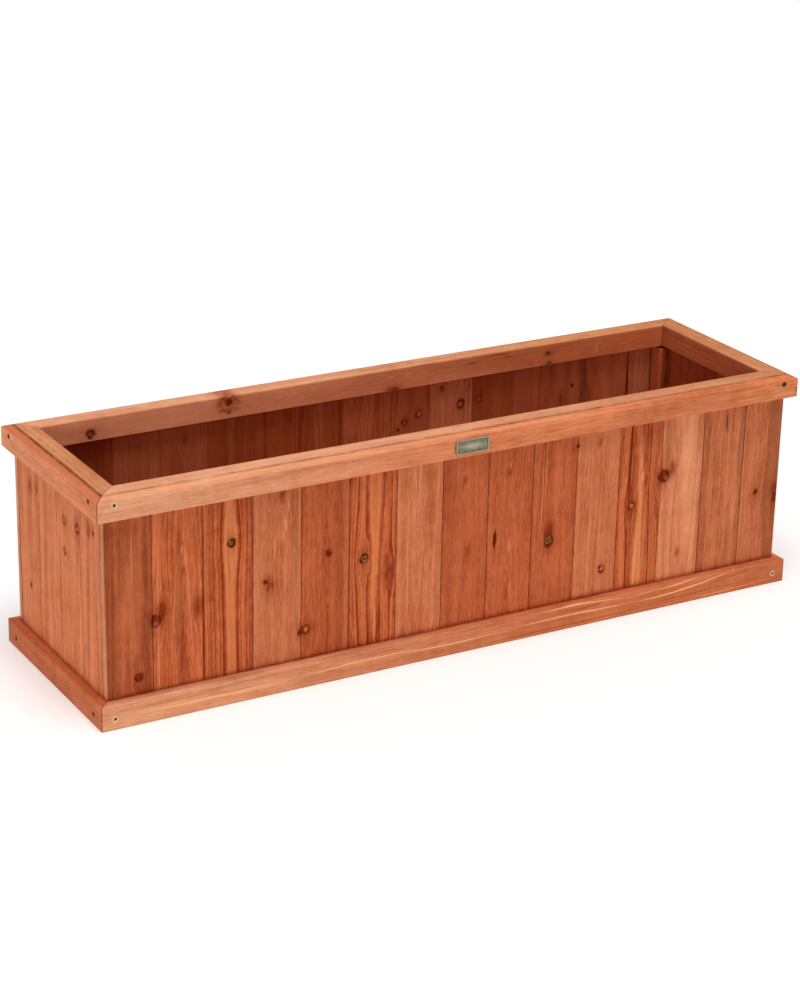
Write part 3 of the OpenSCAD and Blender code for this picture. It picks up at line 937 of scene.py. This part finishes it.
# %% Dress the screws
screw, screw_shader, screw_place, screw_colour = metal_finish(
    "yellow_zinc", screen(244, 214, 168), screen(206, 164, 112), 1.6, 0.3, 0.45)
screw_x = screw_place.node("ShaderNodeSeparateXYZ", None, {0: screw_place})
at_ends = step(abs(screw_x), body_half_len + 4, body_half_len + 5)
at_top_right = step(screw_x, 478, 480) * step(screw_x.sibling("Z"), 278, 280)
stained = at_ends.most(at_top_right) * 0.92
screw_colour = blend(stained, screw_colour, screen(112, 44, 18))
# The cross recess is painted nearly black as shade
recess = 1 - step(outside(screw_place), trim_thickness - 0.9, trim_thickness - 0.4)
fill(screw_shader, {"Base Color": blend(recess, screw_colour, screen(36, 20, 10)),
                    "Specular IOR Level": 0.15})
dress("trim_screws", screw)
print("screws dressed with", screw.name)

# %% [markdown]
# The plate on the front is thin stamped metal with an aged bronze finish, a dull grey green
# that is rubbed brighter on its raised border and in its middle. It is bare, with nothing
# stamped into it.

# %% Dress the plate
plate, plate_shader, plate_place, plate_colour = metal_finish(
    "plate_bronze", screen(128, 122, 96), screen(88, 84, 62), 4.0, 0.4, 0.5)
plate_low, plate_high = (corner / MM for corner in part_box("name_plate"))
plate_middle = (plate_low + plate_high) / 2
plate_front = trim_thickness + plate_high.y - plate_low.y
border_height = 0.5
plate_x = plate_place.node("ShaderNodeSeparateXYZ", None, {0: plate_place})
rubbed = (bell(plate_x - plate_middle.x, 15.0) * bell(plate_x.sibling("Z") - plate_middle.z, 4.0)
          * (noise(plate_place, (2.0, 2.0, 2.0), 3.0, 4.0, 0.7) * 1.2 + 0.1))
plate_colour = blend(rubbed, plate_colour, screen(190, 186, 156))
border = step(outside(plate_place), plate_front - border_height, plate_front - 0.1)
fill(plate_shader, {"Base Color": blend(border, plate_colour, screen(160, 158, 126))})
dress("name_plate", plate)
print("plate is", round(plate_high.x - plate_low.x, 1), "mm long")

# %% [markdown]
# The studio is a pale floor with soft light. A broad light overhead gives the bright rim,
# a low one at the front left lights the walls without reaching into the box, and a pale
# sky and the floor fill the rest, so a colour comes out about as it is written.

# %% Light the studio
scene = bpy.context.scene
scene.view_settings.view_transform = "Standard"


def add_sun(name, towards, energy, angle):
    """Even light from one direction; a wide angle makes its shadows soft."""
    sun = bpy.data.objects.new(name, bpy.data.lights.new(name, "SUN"))
    sun.data.energy = energy
    sun.data.angle = math.radians(angle)
    sun.rotation_euler = Vector(towards).to_track_quat("Z", "Y").to_euler()
    scene.collection.objects.link(sun)


def seen_rays(start):
    """1 for what the camera sees, also mirrored or through glass, and 0 for other light."""
    rays = start.node("ShaderNodeLightPath")
    return rays.most(rays.sibling("Is Glossy Ray")).most(rays.sibling("Is Transmission Ray"))


add_sun("overhead", (-0.06, -0.22, 0.97), 2.2, 40)
add_sun("low_front", (-0.8, -0.6, 0.06), 0.95, 30)
sky_strength = 0.35
world = bpy.data.worlds.new("studio")
world.use_nodes = True
scene.world = world
seen = seen_rays(Shade(world.node_tree, None))
fill(world.node_tree.nodes["Background"],
     {"Strength": sky_strength + seen * (1 - sky_strength), "Color": (1, 1, 1, 1)})
print("sky strength", sky_strength)

# %% [markdown]
# A plain pale floor shows the box's own soft shadow and nothing else. Seen by the camera it
# is white, but it throws a little less light back up than white would.

# %% The floor
floor_half = 30.0
floor_bounce = 0.95
bpy.ops.object.select_all(action="DESELECT")
bpy.ops.mesh.primitive_plane_add(size=2 * floor_half, location=(0, 0, 0))
floor = bpy.context.object
floor.name = "floor"
floor_material, floor_shader, floor_place = new_finish("floor_white")
floor_tint = blend(seen_rays(floor_place), (floor_bounce, floor_bounce, floor_bounce, 1),
                   (1, 1, 1, 1))
fill(floor_shader, {"Base Color": floor_tint, "Roughness": 1.0, "Specular IOR Level": 0.0})
floor.data.materials.append(floor_material)
print("floor laid")
